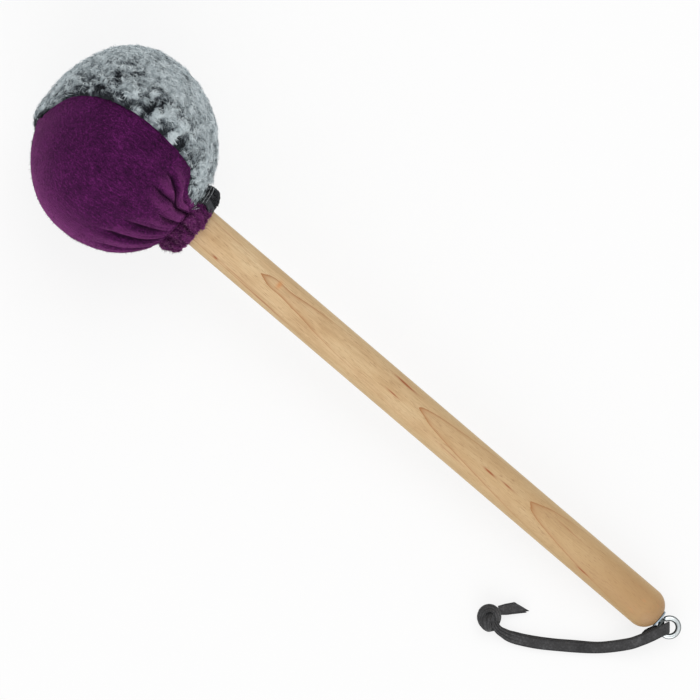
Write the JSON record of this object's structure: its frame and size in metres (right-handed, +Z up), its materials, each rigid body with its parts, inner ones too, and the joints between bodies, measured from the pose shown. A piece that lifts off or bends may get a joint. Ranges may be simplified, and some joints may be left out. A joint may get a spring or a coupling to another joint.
{
  "type": "gong mallet",
  "caption": "Gong mallet with a straight maple handle, a round padded head covered half in fleece and half in long pile, and a leather hanging lace through a screw eye.",
  "frame": {"origin": "on the table, under the middle of the mallet's box without its strap", "axes": "+X along the handle from the head to the butt, seen from above, and +Z up from the table the mallet lies on"},
  "size_m": [0.4046, 0.1129, 0.0964],
  "materials": {
    "maple": "oiled, open grain",
    "core_wood": "raw hardwood",
    "zinc": "bright zinc plate",
    "felt": "pressed wool felt",
    "wool": "loose wool stuffing",
    "purple_fleece": "short-pile fleece",
    "grey_fur": "long curly pile on a black knitted backing",
    "tie_cord": "twisted cord",
    "bright_wire": "bright plated wire",
    "lace_leather": "matte suede lace"
  },
  "bodies": {
    "mallet": {"handle": "maple", "head_core": "core_wood", "core_screw": "zinc", "core_washer": "zinc", "felt_sleeve": "felt", "wool_padding": "wool", "fleece_cover": "purple_fleece", "fur_cover": "grey_fur", "neck_tie": "tie_cord", "butt_washer": "zinc", "screw_eye": "bright_wire"},
    "strap": {"strap_fold": "lace_leather", "strap_upper_run": "lace_leather", "strap_lower_run": "lace_leather", "strap_knot": "lace_leather", "strap_upper_tail": "lace_leather", "strap_lower_tail": "lace_leather"}
  },
  "joints": [
    {"name": "strap_swing", "type": "hinge", "parent": "mallet", "child": "strap", "pos_m": [0.19648, -0.00405, 0.00802], "axis": [0, 0, 1], "range_deg": [-7, 235]}
  ]
}
